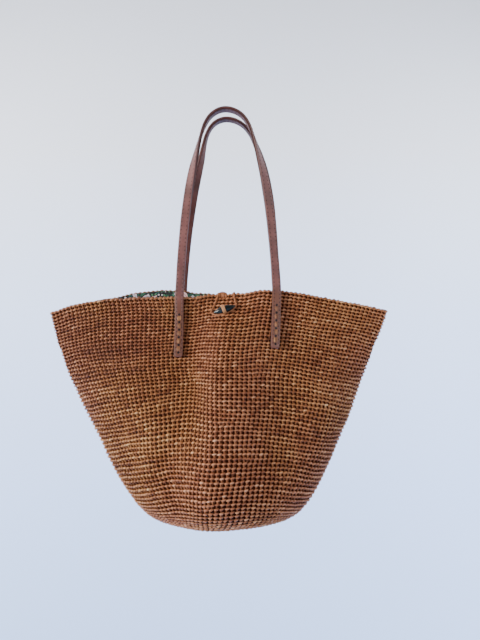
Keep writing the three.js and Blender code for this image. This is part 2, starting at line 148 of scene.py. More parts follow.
def look_up(table, at):
    """A two-column table's value at a key between its rows, eased from row to row."""
    i = np.clip(np.searchsorted(table[:, 0], at) - 1, 0, len(table) - 2)
    share = smooth(table[i, 0], table[i + 1, 0], at)
    return mix(table[i, 1], table[i + 1, 1], share)


def fold_depth(folds, rise, x):
    """How far the folds stand proud at a rise and x, as a share of the side's depth."""
    total = np.zeros_like(x)
    for low, high, fade, proud, low_at, high_at, low_left, low_right, high_left, high_right in folds:
        share = np.clip((rise - low) / (high - low), 0, 1)
        away = x - mix(low_at, high_at, share)
        wide = np.where(away < 0, mix(low_left, high_left, share), mix(low_right, high_right, share))
        shown = smooth(low, low + fade, rise) * (1 - smooth(high - fade, high, rise))
        total += proud * shown * np.exp(-((away / wide) ** 2))
    return total


def bag(place, angle, inset=0.0):
    """Points of the bag's surface, inset inside its outside. angle runs from the right end over the back."""
    place, angle, inset = np.broadcast_arrays(*(np.asarray(v, float) for v in (place, angle, inset)))
    at = np.clip(place, 0, LAST)
    rise = column(RISE, at)
    front = np.sin(angle) < 0
    size = np.where(front, FRONT_DEPTH, BACK_DEPTH)
    outer_half = column(HALF, at) * MOUTH / 2
    outer_depth = np.where(front, column(FRONT, at), column(BACK, at)) * size
    keen = column(KEEN, at)
    sideways = np.clip(outer_half / (RINGS[UPRIGHT_RING, HALF] * MOUTH / 2), 0, 1)
    upwards = np.sqrt(1 - sideways * sideways)
    safe = np.maximum(inset, 0)
    thin = np.minimum(1, safe / np.maximum(outer_depth, np.maximum(safe, 1)))
    end_inset = np.where(inset > 0, np.maximum(inset, outer_half / 2 * thin ** (1 / keen)), inset)
    half = np.maximum(0, outer_half - end_inset * sideways)
    depth = np.maximum(0, outer_depth - inset * sideways)
    x = half * np.cos(angle)
    share = x / (MOUTH / 2)
    folds = np.where(front, fold_depth(FRONT_FOLDS, rise, share), fold_depth(BACK_FOLDS, rise, share))
    bulge = depth * np.abs(np.sin(angle)) ** (2 * keen) + folds * size
    y = np.where(front, -bulge, bulge)
    ends = np.where(outer_half > 0, (x / np.maximum(outer_half, 1e-6)) ** 2, 0)
    lift = np.where(front, look_up(FRONT_LIFT, share), look_up(BACK_LIFT, share))
    wave = RIM_WAVE * lift * smooth(WAVE_FROM, 1, rise)
    z = -DROP - HEIGHT * (1 - rise + column(SAG, at) * ends) + wave + inset * upwards
    return np.stack([SHIFT + SIDE_LEAN * column(LEAN, at) + x, y, z], -1)


def unit(v):
    return v / np.maximum(np.linalg.norm(v, axis=-1, keepdims=True), 1e-9)


def at_x(place, x, front, inset=0.0):
    """The surface at a row number and x from the bag's middle, on the front or the back."""
    lean = SIDE_LEAN * column(LEAN, place)
    edge = bag(place, 0.0, inset)[..., 0] - SHIFT - lean
    angle = np.arccos(np.clip((x - lean) / edge, -1, 1))
    return bag(place, np.where(front, -angle, angle), inset)


def on_bag(x, z, front, inset=0.0):
    """Where the surface stands at x from the bag's middle and height z."""
    x, z = np.broadcast_arrays(np.asarray(x, float), np.asarray(z, float))
    low, high = np.full(x.shape, 1.0), np.full(x.shape, float(LAST))
    for _ in range(HALVINGS):
        middle = (low + high) / 2
        under = at_x(middle, x, front, inset)[..., 2] < z
        low, high = np.where(under, middle, low), np.where(under, high, middle)
    return at_x(low, x, front, inset)


def way_out(x, z, front):
    """The direction that the surface faces where it stands at x and z."""
    across = on_bag(x + WAY_STEP, z, front) - on_bag(x - WAY_STEP, z, front)
    up = on_bag(x, z, front) - on_bag(x, z - WAY_STEP, front)
    out = unit(np.cross(across, up))
    return np.where((out[..., 1:2] < 0) == front, out, -out)


def rim_height(x, front):
    return float(at_x(np.float64(LAST), np.float64(x), front)[2])


# Meshes


def new_object(name, points, faces, smooth_faces=True, scale=MM):
    """A mesh object from points in millimetres and faces, a list of arrays with one width each."""
    mesh = bpy.data.meshes.new(name)
    points = np.ascontiguousarray(np.asarray(points, np.float32) * scale)
    groups = [np.asarray(f, np.int32) for f in faces if len(f)]
    corners = np.concatenate([g.reshape(-1) for g in groups])
    sizes = np.concatenate([np.full(len(g), g.shape[1], np.int32) for g in groups])
    mesh.vertices.add(len(points))
    mesh.vertices.foreach_set("co", points.reshape(-1))
    mesh.loops.add(len(corners))
    mesh.loops.foreach_set("vertex_index", corners)
    mesh.polygons.add(len(sizes))
    mesh.polygons.foreach_set("loop_start", np.concatenate([[0], np.cumsum(sizes)[:-1]]).astype(np.int32))
    if smooth_faces:
        mesh.polygons.foreach_set("use_smooth", np.ones(len(sizes), bool))
    mesh.update(calc_edges=True)
    mesh.validate()
    obj = bpy.data.objects.new(name, mesh)
    bpy.context.scene.collection.objects.link(obj)
    return obj


def add_colour(obj, values, name="tint"):
    """A colour on each vertex, from an array of two to four columns."""
    full = np.ones((len(values), 4), np.float32)
    full[:, :values.shape[1]] = values
    layer = obj.data.color_attributes.new(name, "FLOAT_COLOR", "POINT")
    layer.data.foreach_set("color", full.reshape(-1))


def add_uv(obj, values, name="UVMap"):
    """A map from two values on each vertex."""
    corner = np.empty(len(obj.data.loops), np.int32)
    obj.data.loops.foreach_get("vertex_index", corner)
    layer = obj.data.uv_layers.new(name=name)
    layer.data.foreach_set("uv", np.ascontiguousarray(values[corner], np.float32).reshape(-1))


def right_handed(line, across, out):
    """Whether across, out and a line's way turn so that faces made in that order look outwards."""
    return (np.cross(across, out) * np.gradient(line, axis=-2)).sum() > 0


def sides_of(line, out):
    """A line's directions across and up, where out is about what its upper side faces."""
    way = unit(np.gradient(line, axis=-2))
    across = unit(np.cross(way, out))
    return across, unit(np.cross(across, way))


def far_along(line):
    """How far along a line each of its points lies."""
    return np.concatenate([[0], np.cumsum(np.linalg.norm(np.diff(line, axis=0), axis=1))])


def columns_at(at, key, rows):
    """Rows of three values, read at places between their keys."""
    return np.stack([np.interp(at, key, rows[:, j]) for j in range(3)], -1)


def ring_quads(rings, around):
    """The faces between rings that follow each other, each of around points."""
    i, j = np.meshgrid(np.arange(rings - 1), np.arange(around), indexing="ij")
    a, b = i * around + j, i * around + (j + 1) % around
    return np.stack([a, b, b + around, a + around], -1).reshape(-1, 4)


def join(name, parts):
    """One object from parts, each of points, quads, tris, tints and a map."""
    counts = np.cumsum([0] + [len(part[0]) for part in parts])
    points, quads, tris, tints, maps = zip(*parts)
    faces = [np.concatenate([f + c for f, c in zip(kind, counts)]) for kind in (quads, tris)]
    obj = new_object(name, np.concatenate(points), faces)
    add_colour(obj, np.concatenate(tints))
    add_uv(obj, np.concatenate(maps))
    return obj


MAP_ACROSS = 4
MAP_SPREAD, MAP_SLANT = 900, 0.37
CORD_SIDES = 6


class Strands:
    """Many short closed strands, each a run of rings that ends in two points, gathered in one mesh."""

    def __init__(self, sides):
        self.sides = sides
        self.parts = []

    def add(self, line, across, out, wide, thick, tint):
        """line, across and out are (strands, stations, 3); wide and thick are half sizes at the inner
        stations; tint has one value for each strand."""
        n, k = line.shape[:2]
        s, inner = self.sides, k - 2
        turn = np.pi / 2 + np.arange(s) * 2 * np.pi / s
        ring = (line[:, 1:-1, None, :]
                + across[:, 1:-1, None, :] * (wide[:, :, None] * np.cos(turn))[..., None]
                + out[:, 1:-1, None, :] * (thick[:, :, None] * np.sin(turn))[..., None])
        points = np.concatenate([line[:, :1], ring.reshape(n, inner * s, 3), line[:, -1:]], 1)
        per = inner * s + 2
        j = np.arange(s)
        after, low = (j + 1) % s, per - 1 - s
        tris = np.stack([0 * j, 1 + after, 1 + j, 0 * j + per - 1, low + j, low + after], 1).reshape(-1, 3)
        base = (np.arange(n) * per)[:, None, None]
        order = 1 if right_handed(line, across, out) else -1
        faces = [(f + base).reshape(-1, f.shape[1])[:, ::order] for f in (1 + ring_quads(inner, s), tris)]
        # After its tone, a vertex keeps how high it lies round the strand and how near the strand's middle,
        # which the material uses for painted shade.
        height = np.concatenate([[0.5], np.tile((np.sin(turn) + 1) / 2, inner), [0.5]])
        share = np.concatenate([[0], np.repeat(1 - np.abs(np.linspace(-1, 1, k)[1:-1]), s), [0]])
        tints = np.stack([np.repeat(tint, per), np.tile(height, n), np.tile(share, n)], 1)
        length = np.linalg.norm(np.diff(line, axis=1), axis=2)
        far = np.concatenate([np.zeros((n, 1)), np.cumsum(length, 1)], 1)
        along = np.concatenate([far[:, :1], np.repeat(far[:, 1:-1], s, 1), far[:, -1:]], 1)
        side = np.concatenate([[0], np.tile(np.abs(j * 2 / s - 1), inner), [0]])
        offset = rng.random((n, 1)) * MAP_SPREAD
        maps = np.stack([along + offset, side[None] * MAP_ACROSS + offset * MAP_SLANT], -1).reshape(-1, 2)
        self.parts.append((points.reshape(-1, 3), *faces, tints, maps))

    def build(self, name):
        return join(name, self.parts)


def cord_part(line, across, out, wide, thick, tone_of):
    """A capped tube along a line, with half sizes wide and thick, as a part for join."""
    n = len(line)
    turn = np.arange(CORD_SIDES) * 2 * np.pi / CORD_SIDES
    across, out = (np.broadcast_to(v, line.shape) for v in (across, out))
    wide, thick = (np.broadcast_to(v, n)[:, None] for v in (wide, thick))
    points = (line[:, None] + across[:, None] * (wide * np.cos(turn))[..., None]
              + out[:, None] * (thick * np.sin(turn))[..., None]).reshape(-1, 3)
    j = np.arange(1, CORD_SIDES - 1)
    end = (n - 1) * CORD_SIDES
    tris = np.stack([0 * j, j + 1, j, 0 * j + end, end + j, end + j + 1], 1).reshape(-1, 3)
    order = 1 if right_handed(line, across, out) else -1
    side = np.abs(np.arange(CORD_SIDES) * 2 / CORD_SIDES - 1) * MAP_ACROSS
    height = np.tile((np.sin(turn) + 1) / 2, n)
    tint = np.stack([np.full(len(points), tone_of), height, np.ones(len(points))], 1)
    uv = np.stack([np.repeat(far_along(line), CORD_SIDES), np.tile(side, n)], 1)
    return points, ring_quads(n, CORD_SIDES)[:, ::order], tris[:, ::order], tint, uv


# The crochet: its rounds and stitches. A run is how far up the wall from the base's middle a round lies.

ROUND_DROP = 0.087
DROP_LOW, DROP_HIGH = 2.5, 7.5
LEAN_ANGLE = math.radians(2)
ANGLES, PLACES, LEVELS = 481, 1501, 601
PROBES = np.radians([250, 270, 290, 310, 230, 60, 90, 120])
# times round the bag, size in mm, turn on the way up, start
WOBBLES = [
    (2, 0.7, 9, 0.4), (3, 0.55, -14, 2.1), (5, 0.4, 22, 4.0), (7, 0.35, -31, 1.2), (11, 0.28, 47, 5.2),
    (17, 0.22, -60, 0.7), (23, 0.16, 83, 3.3),
]
FIRST_RUN, TOP_GAP = 3.2, 2.2
ROUND_LOW, ROUND_HIGH = 5.5, 4.55
STITCH_LOW, STITCH_HIGH = 5.35, 5.6
FEWEST_STITCHES = 6

angles = np.linspace(0, 2 * np.pi, ANGLES)
place_keys = np.linspace(0, LAST, PLACES)
rise_keys = np.maximum.accumulate(column(RISE, place_keys) + np.arange(PLACES) * 1e-9)


def round_place(level, angle):
    """The place on the rings of the round that is at level in the middle. Its ends hang lower."""
    extra = ROUND_DROP * smooth(DROP_LOW, DROP_HIGH, level) - column(SAG, level)
    target = column(RISE, level) - np.maximum(extra, 0) * np.cos(angle) ** 2
    return np.interp(target, rise_keys, place_keys)


# Lengths up the wall at a few angles give levels that lie evenly along the raffia.
level_keys = np.linspace(0.0, LAST, LEVELS)
probe_lines = np.stack([bag(round_place(level_keys, a), a) for a in PROBES])
run_keys = np.concatenate([[0], np.cumsum(np.linalg.norm(np.diff(probe_lines, axis=1), axis=2).mean(0))])
top_run = run_keys[-1]


def wobble(run, angle):
    """How far a round lies off its even place, in mm: hand work is never quite even."""
    share = run / top_run
    total = np.zeros_like(angle)
    for times, size, turn, start in WOBBLES:
        total += size * np.sin(times * angle + turn * share + start)
    return total * smooth(0.02, 0.1, share) * (1 - smooth(0.93, 1.0, share))


def round_at(run, angle):
    return bag(round_place(np.interp(run + wobble(run, angle), run_keys, level_keys), angle), angle)


heights = []
run = FIRST_RUN
while run < top_run:
    heights.append(run)
    run += mix(ROUND_LOW, ROUND_HIGH, smooth(0.25, 0.95, run / top_run))
heights = np.array(heights)
heights = FIRST_RUN + (heights - FIRST_RUN) * (top_run - TOP_GAP - FIRST_RUN) / (heights[-1] - FIRST_RUN)
ROUNDS = len(heights)

lengths = [far_along(round_at(height, angles)) for height in heights]
shares = [length / length[-1] for length in lengths]
counts = []
for k in range(ROUNDS):
    n = max(FEWEST_STITCHES, int(round(lengths[k][-1] / mix(STITCH_LOW, STITCH_HIGH, k / ROUNDS))))
    counts.append(max(n, counts[-1]) if counts else n)

# Each stitch has a parent in the round below, or shares one. spots holds shares of the round's length. They
# start over their parents and are eased towards even gaps.
TWIN_GAP = 0.5
EASINGS, TO_NEIGHBOURS, TO_TARGET = 60, 0.72, 0.28
TO_EVEN, TO_EASED = 0.12, 0.88
spots = [(np.arange(counts[0]) + 0.5) / counts[0]]
parents = [np.zeros(counts[0], int)]
for k in range(1, ROUNDS):
    below, now = counts[k - 1], counts[k]
    extra = now - below
    doubled = np.zeros(below, int)
    if extra:
        at = np.floor((np.arange(extra) + rng.random()) * below / extra).astype(int) % below
        np.add.at(doubled, at, 1)
    parent = np.repeat(np.arange(below), 1 + doubled)
    parents.append(parent)
    angle_below = np.interp(spots[-1] % 1, shares[k - 1], angles) + 2 * np.pi * np.floor(spots[-1])
    here = np.interp(angle_below % (2 * np.pi), angles, shares[k]) + np.floor(angle_below / (2 * np.pi))
    lean = math.tan(LEAN_ANGLE) * (heights[k] - heights[k - 1]) / lengths[k][-1]
    twin = np.concatenate([[False], parent[1:] == parent[:-1]])
    target = here[parent] + lean + np.where(twin, TWIN_GAP, 0) / now
    index = np.arange(now)
    even_spot = (target - index / now).mean() + index / now
    spot = target
    for _ in range(EASINGS):
        left, right = np.roll(spot, 1), np.roll(spot, -1)
        left[0] -= 1
        right[-1] += 1
        spot = TO_NEIGHBOURS * (left + right) / 2 + TO_TARGET * target
    spots.append(TO_EVEN * even_spot + TO_EASED * spot)


def spot_angle(k, spot):
    return np.interp(spot % 1, shares[k], angles)


# S holds all stitches: their round, place, way up, spot, the round's length, width, height and angle.
TURN_STEP = 0.004
positions = []
for k in range(ROUNDS):
    angle = spot_angle(k, spots[k])
    positions.append((angle, round_at(heights[k], angle)))
rows = []
for k in range(ROUNDS):
    angle, at = positions[k]
    if k + 1 < ROUNDS:
        above = positions[k + 1][1]
        below = np.arange(counts[k])
        first, last = (np.searchsorted(parents[k + 1], below, side) for side in ("left", "right"))
        up = (above[first] + above[last - 1]) / 2 - at
    else:
        up = at - positions[k - 1][1][parents[k]]
    length = np.full(counts[k], lengths[k][-1])
    rows.append({"k": np.full(counts[k], k), "at": at, "up": unit(up), "spot": spots[k], "length": length,
                 "wide": length / counts[k], "high": np.linalg.norm(up, axis=1), "angle": angle})
S = {key: np.concatenate([row[key] for row in rows]) for key in rows[0]}

# Every strip of raffia is dyed and split by hand, so tone changes in runs along a round.
ROUND_TONE, RUN_TONE, STITCH_TONE, RUN_ENDS = 0.025, 0.05, 0.075, 0.12
tones = []
for n in counts:
    base = rng.normal(0, ROUND_TONE)
    run_of = np.cumsum(rng.random(n) < RUN_ENDS)
    tones.append(base + rng.normal(0, RUN_TONE, run_of.max() + 1)[run_of] + rng.normal(0, STITCH_TONE, n))
# Painted shade: the stitches are painted darker towards the upper left of the front.
SHADE_PATCH_AT, SHADE_PATCH_SIZE, SHADE_PATCH_TONE = (-150, -295), (80, 65), 0.17
off = (S["at"][:, [0, 2]] - SHADE_PATCH_AT) / SHADE_PATCH_SIZE
shade_patch = np.exp(-(off ** 2).sum(1)) * (S["at"][:, 1] < 0)
tone = np.clip(0.5 + np.concatenate(tones) - SHADE_PATCH_TONE * shade_patch, 0, 1)


def along_rounds(rounds, spot):
    """Points at spots of the stitches' own rounds, and the directions of the rounds there."""
    angle = np.empty_like(spot)
    for k in np.unique(rounds):
        angle[rounds == k] = spot_angle(k, spot[rounds == k])
    run = heights[rounds][:, None]
    across = round_at(run, angle + TURN_STEP) - round_at(run, angle - TURN_STEP)
    return round_at(run, angle), unit(across)


def legs(pick, start, bend, end, wide, thick, rise, shade, wide_of="wide"):
    """One strand in each picked stitch, from start over bend to end, shares of its width and height;
    rise is how far above the wall's outside the five stations lie. Its half width is a share too."""
    n = int(pick.sum())
    up = S["up"][pick][:, None]
    share, high = (S["wide"] / S["length"])[pick][:, None], S["high"][pick][:, None, None]
    t = np.linspace(0, 1, 5)
    a, b, c = (np.asarray(p, float) for p in (start, bend, end))
    way = (1 - t)[:, None] ** 2 * a + 2 * (t * (1 - t))[:, None] * b + t[:, None] ** 2 * c
    way = way[None] + rng.normal(0, 0.022, (n, 1, 2)) + rng.normal(0, 0.012, (n, 5, 2))
    level = np.asarray(rise, float)[None] + rng.normal(0, 0.14, (n, 1)) + np.zeros((n, 5))
    at, across = along_rounds(S["k"][pick], S["spot"][pick][:, None] + way[..., 0] * share)
    out = unit(np.cross(across, up))
    line = at + up * high * way[..., 1:] + out * level[..., None]
    size = 1 + rng.normal(0, 0.08, (n, 1))
    wides = np.asarray(wide, float)[None] * size * S[wide_of][pick][:, None]
    thicks = np.asarray(thick, float)[None] * size
    return line, *sides_of(line, out), wides, thicks, tone[pick] + rng.normal(0, 0.05, n) - shade


# start, bend and end, then half widths in shares of the stitch's size, half thicknesses and the stations'
# heights above the wall in mm, and how much darker, which is painted shade on the deeper strands (the loop on
# top is painted a little lighter): a slightly slanting loop that lies in line with its neighbours, the post
# that hangs from its middle, and a thin strand deep in the hole where the hook went in
STRANDS = [
    ((-0.68, -0.1), (0.0, 0.2), (0.68, 0.22), (0.22, 0.29, 0.23), (0.95, 1.25, 0.95),
     (-0.9, 0.4, 0.85, 0.5, -0.8), -0.07, "high"),
    ((0.04, -0.95), (-0.08, -0.45), (-0.06, 0.1), (0.15, 0.19, 0.16), (0.6, 0.85, 0.6),
     (-1.6, -0.8, -0.45, -0.65, -1.3), 0.1),
    ((0.1, -0.85), (0.34, -0.4), (0.5, 0.1), (0.07, 0.1, 0.07), (0.4, 0.5, 0.4),
     (-2.0, -1.5, -1.2, -1.3, -1.8), 0.2),
]
STRAND_SIDES = 5
BASE_TOP, LOW_TOP, MID_TOP = 11, 36, 56
BANDS = [("low", BASE_TOP, LOW_TOP), ("mid", LOW_TOP, MID_TOP), ("high", MID_TOP, ROUNDS)]


def crochet(name, pick):
    piece = Strands(STRAND_SIDES)
    for strand in STRANDS:
        piece.add(*legs(pick, *strand))
    return piece.build(name)


in_front = np.sin(S["angle"]) < 0
pieces = {"crochet_base": S["k"] < BASE_TOP}
for side_name, chosen in (("front", in_front), ("back", ~in_front)):
    for band, start, stop in BANDS:
        pieces[f"crochet_{side_name}_{band}"] = chosen & (S["k"] >= start) & (S["k"] < stop)
crochet_pieces = [crochet(name, pick) for name, pick in pieces.items()]


# The backing of the stitches, a closed shell painted near black: painted shade that shows between them

POLE_ANGLE = 1.5
BACKING_INSET, BACKING_DROP = 2.7, 0.02


def shell(name, outer, inner, top, rings=60, around=200):
    """A closed shell of the bag's form up to place top, between two insets that depend on place and angle."""
    places = np.linspace(0, top, rings + 1)[1:, None]
    turn = np.arange(around)[None] * 2 * np.pi / around
    points = []
    for inset in (outer, inner):
        pole = bag(0.0, 0.0, float(inset(np.float64(0), np.float64(POLE_ANGLE))))
        points += [pole[None], bag(places, turn, inset(places, turn)).reshape(-1, 3)]
    second = 1 + rings * around
    i = np.arange(around)
    j = (i + 1) % around
    tri = np.stack([0 * i, 1 + j, 1 + i], 1)
    quad = 1 + ring_quads(rings, around)
    a, b = second - around, 2 * second - around
    quads = [quad, (quad + second)[:, ::-1], np.stack([a + i, a + j, b + j, b + i], 1)]
    tris = [tri, (tri + second)[:, ::-1]]
    return new_object(name, np.concatenate(points), [np.concatenate(quads), np.concatenate(tris)])


def thinner_at_ends(place, angle):
    return mix(0.35, 1.5, smooth(0, 0.12, np.sin(angle) ** 2))


shade_backing = shell("crochet_shade_backing", thinner_at_ends, lambda p, a: BACKING_INSET + 0 * (p + a),
                LAST - BACKING_DROP)

# The rim's edge: the loops of the last round lie level on the wall, and one row shows inside above the lining

edge_angle, edge_at = positions[-1]
edge_count = len(edge_angle)


def rim_point(angle, inset, below):
    """A point on the rim at an inset from its outside, and so far under the very top."""
    top = bag(float(LAST), angle)
    along = bag(float(LAST), angle + TURN_STEP) - bag(float(LAST), angle - TURN_STEP)
    inwards = unit(np.stack([-along[..., 1], along[..., 0], 0 * along[..., 2]], -1))
    inset = np.minimum(inset, np.abs(top[..., 1]) + 0.3)
    return top + inwards * inset[..., None] - np.array([0, 0, 1.0]) * np.asarray(below)[..., None]


def edge_strands(piece, start, end, insets, belows, wide, thick, inwards=0.0):
    """One strand along the rim at each edge stitch, from start to end in stitch widths. Its upper side faces
    up, or into the bag where inwards is 1."""
    n = edge_count
    t = np.linspace(0, 1, 5)
    gap_of = np.mod(np.diff(np.append(edge_angle, edge_angle[0])), 2 * np.pi)
    way = mix(start, end, t)[None] + rng.normal(0, 0.05, (n, 1))
    angle = edge_angle[:, None] + gap_of[:, None] * way
    inset = np.interp(t, np.linspace(0, 1, len(insets)), insets)[None] + rng.normal(0, 0.1, (n, 1))
    below = np.interp(t, np.linspace(0, 1, len(belows)), belows)[None] + rng.normal(0, 0.25, (n, 1))
    line = rim_point(angle, inset + 0 * way, below + 0 * way)
    into = rim_point(angle, inset + 1, below + 0 * way) - line
    out = mix(np.array([0, 0, 1.0]), into, inwards)
    size = 1 + rng.normal(0, 0.13, (n, 1))
    tints = np.clip(tone[-n:] + rng.normal(0.06, 0.06, n), 0, 1)
    piece.add(line, *sides_of(line, out), np.array(wide)[None] * size, np.array(thick)[None] * size, tints)


edge = Strands(5)
edge_strands(edge, -0.6, 0.7, (1.4, 0.5, 1.4), (1.2, 0.1, 1.1), (0.8, 1.1, 0.8), (0.8, 1.15, 0.8))
edge_strands(edge, -0.6, 0.7, (1.5, 2.5, 1.5), (1.2, 0.2, 1.1), (0.8, 1.1, 0.8), (0.8, 1.15, 0.8))
edge_strands(edge, -0.5, 0.8, (2.0, 2.7, 2.0), (1.3, 1.8, 2.2), (0.8, 1.0, 0.8), (0.6, 0.85, 0.6), 1.0)
crochet_edge = edge.build("crochet_edge")

# Curves


def curve_through(points, step, more=None):
    """A centripetal curve through points, sampled every step mm, and more's values at the same shares."""
    points = np.asarray(points, float)
    ext = np.vstack([2 * points[0] - points[1], points, 2 * points[-1] - points[-2]])
    shares, out = [], []
    for i in range(len(points) - 1):
        p0, p1, p2, p3 = ext[i:i + 4]
        d0, d1, d2 = (max(np.linalg.norm(b - a), 1e-6) ** 0.5 for a, b in ((p0, p1), (p1, p2), (p2, p3)))
        t1 = ((p1 - p0) / d0 - (p2 - p0) / (d0 + d1) + (p2 - p1) / d1) * d1
        t2 = ((p2 - p1) / d1 - (p3 - p1) / (d1 + d2) + (p3 - p2) / d2) * d1
        parts = max(2, int(np.ceil(np.linalg.norm(p2 - p1) / step)))
        s = (np.arange(parts) / parts)[:, None]
        out.append(p1 + s * (t1 + s * ((3 * (p2 - p1) - 2 * t1 - t2) + s * (2 * (p1 - p2) + t1 + t2))))
        shares.append(i + s[:, 0])
    out.append(points[-1:])
    shares.append([len(points) - 1.0])
    line, share = np.vstack(out), np.concatenate(shares)
    if more is None:
        return line
    return line, columns_at(share, np.arange(len(more)), np.asarray(more, float))


def even(line, step, *others):
    """The same line with its points step apart, and others carried along."""
    far = far_along(line)
    at = np.linspace(0, far[-1], max(2, int(round(far[-1] / step)) + 1))
    return at, [columns_at(at, far, v) for v in (line, *others)]


# Handles

STRAP_WIDTH = 11.0
STRAP_THICK = 4.0
SPREAD = 30.0
LEFT_LEG, RIGHT_LEG, BACK_RIGHT_LEG = 59.0, 64.0, 67.5
LEFT_SEWN, RIGHT_SEWN = 72.0, 68.0
RIGHT_SLANT = 4.0
BACK_SWAY = 4.0
RIM_CLEAR = 4.0
STRAP_PROUD = 1.2
# How dark the painted shade on the straps' inner sides is
INNER_SIDE_SHADE = 0.6
END_ROUND = 2.6
# down, out, turn, sway
LEG = [
    (0, 0, 90, 0), (0.009, 0.17, 90, 0.1), (0.036, 0.33, 90, 0.2), (0.085, 0.46, 88, 0.4),
    (0.153, 0.555, 78, 0.7), (0.23, 0.635, 60, 1), (0.32, 0.72, 38, 1), (0.44, 0.805, 18, 0.85),
    (0.6, 0.885, 6, 0.55), (0.8, 0.955, 2, 0.2),
]


def leg_stations(front, hand):
    top_y = (-1 if front else 1) * SPREAD / 2
    x = (-LEFT_LEG if hand < 0 else (RIGHT_LEG if front else BACK_RIGHT_LEG)) - SHIFT
    share = 1 - np.arange(13) / 12
    z = rim_height(x, front) - RIM_CLEAR - (LEFT_SEWN if hand < 0 else RIGHT_SEWN) * share
    sewn = x - (0 if hand < 0 else RIGHT_SLANT) * share
    face = way_out(sewn, z, front)
    centre = on_bag(sewn, z, front) + face * (STRAP_PROUD + STRAP_THICK / 2)
    centres, faces = list(centre), list(face)
    seat, seat_face = centre[-1], face[-1]
    for down, out, turn, sway in reversed(LEG):
        top = max(0.0, 1 - out * 4)
        centres.append(np.array([
            mix(0, seat[0], out) + (0 if front else BACK_SWAY * sway),
            mix(top_y, seat[1], float(smooth(0, 1, down))),
            mix(STRAP_THICK / 2, seat[2], down),
        ]))
        faces.append(unit(np.array([hand * math.sin(math.radians(turn)) * (1 - top), 0, top])
                          + seat_face * math.cos(math.radians(turn))))
    return centres, faces


def strap_line(front):
    left, left_faces = leg_stations(front, -1)
    right, right_faces = leg_stations(front, 1)
    line, face = curve_through(left + right[::-1][1:], 3.0, left_faces + right_faces[::-1][1:])
    at, (line, face) = even(line, 2.5, face)
    way = unit(np.gradient(line, axis=0))
    face = unit(face - way * (face * way).sum(1, keepdims=True))
    return at, line, face, np.cross(face, way)


def strap_mesh(name, front):
    at, line, face, across = strap_line(front)
    w, t = STRAP_WIDTH / 2, STRAP_THICK / 2
    half = [(w - 0.45, 0.12), (w - 0.02, 0.5), (w, t - 0.75), (w - 0.22, t - 0.2), (w - 0.8, t - 0.02),
            (w - 1.5, t - 0.06), (w - 2.2, t + 0.02), (0, t + 0.05)]
    upper = half + [(-x, y) for x, y in half[-2::-1]]
    section = np.array(upper + [(-x, -y) for x, y in upper])
    wobble_wide = 1 + 0.012 * np.sin(at / 23) + 0.01 * np.sin(at / 9.1 + 1)
    ends = np.minimum(at, at[-1] - at)
    rounded = 0.8 + 0.2 * np.sqrt(np.clip(1 - (1 - ends / END_ROUND) ** 2, 0, 1))
    wide = wobble_wide * np.where(ends < END_ROUND, rounded, 1)
    n, m = len(line), len(section)
    points = (line[:, None] + across[:, None] * (section[None, :, :1] * wide[:, None, None])
              + face[:, None] * section[None, :, 1:]).reshape(-1, 3)
    # The section runs anticlockwise seen against the strap's way, so both caps face outwards.
    caps = [np.arange(m)[None], (np.arange(m)[::-1] + (n - 1) * m)[None]]
    obj = new_object(name, points, [ring_quads(n, m)[:, ::-1], *caps])
    add_uv(obj, np.stack([np.tile(section[:, 0], n), np.repeat(at, m)], 1))
    sewn = 1 - smooth(RIGHT_SEWN - 4, LEFT_SEWN + 14, ends)
    # Painted shade: the inner side of the strap, which lies in shadow, is darker.
    painted_side_shade = np.where(section[:, 1] > 0, 1.0, INNER_SIDE_SHADE)
    aside = np.abs(section[:, 0]) / w
    add_colour(obj, np.stack([np.tile(aside, n), np.repeat(sewn, m), np.tile(painted_side_shade, n)], 1))
    return obj, (at, line, face, across)


def at_run(frame_of, run, aside, above):
    """A point so far along a strap, so far aside of its middle and above its middle layer."""
    at, line, face, across = frame_of
    middle, outwards, sideways = (columns_at(run, at, v) for v in (line, face, across))
    return middle + sideways * np.asarray(aside)[..., None] + outwards * np.asarray(above)[..., None]


THREAD_FIRST, THREAD_END, THREAD_PITCH, THREAD_LONG, THREAD_ASIDE = 4.5, 6, 5.2, 3.0, 3.3


def strap_stitches(name, frame_of):
    """The machine stitches along both edges, on both faces."""
    piece = Strands(4)
    starts = np.arange(THREAD_FIRST, frame_of[0][-1] - THREAD_END, THREAD_PITCH)
    n = len(starts)
    for aside in (-THREAD_ASIDE, THREAD_ASIDE):
        for side in (1, -1):
            run = starts[:, None] + THREAD_LONG * np.linspace(0, 1, 4)[None] + rng.normal(0, 0.12, (n, 1))
            above = side * (STRAP_THICK / 2 + np.array([-0.5, 0.02, 0.02, -0.5]))[None] + 0 * run
            line = at_run(frame_of, run, aside + rng.normal(0, 0.08, (n, 1)) + 0 * run, above)
            low, high = (at_run(frame_of, run, aside + 0 * run, above + up) for up in (0, side))
            out = high - low
            piece.add(line, *sides_of(line, out), np.full((n, 2), 0.62), np.full((n, 2), 0.36),
                      0.5 + rng.normal(0, 0.1, n))
    return piece.build(name)


HOLE_FIRST, HOLE_PITCH, HOLE_COUNT = 5.2, 9.8, 6
HOLE_WIDE, HOLE_LONG = 1.45, 1.6
# aside and how much higher in the middle
BUNDLE = [(-2.0, 0.0), (-1.0, 0.15), (0.0, 0.25), (1.0, 0.15), (1.9, 0.0)]
BUNDLE_WIDE, BUNDLE_THICK, BUNDLE_GAP = 0.6, 0.32, 1.2


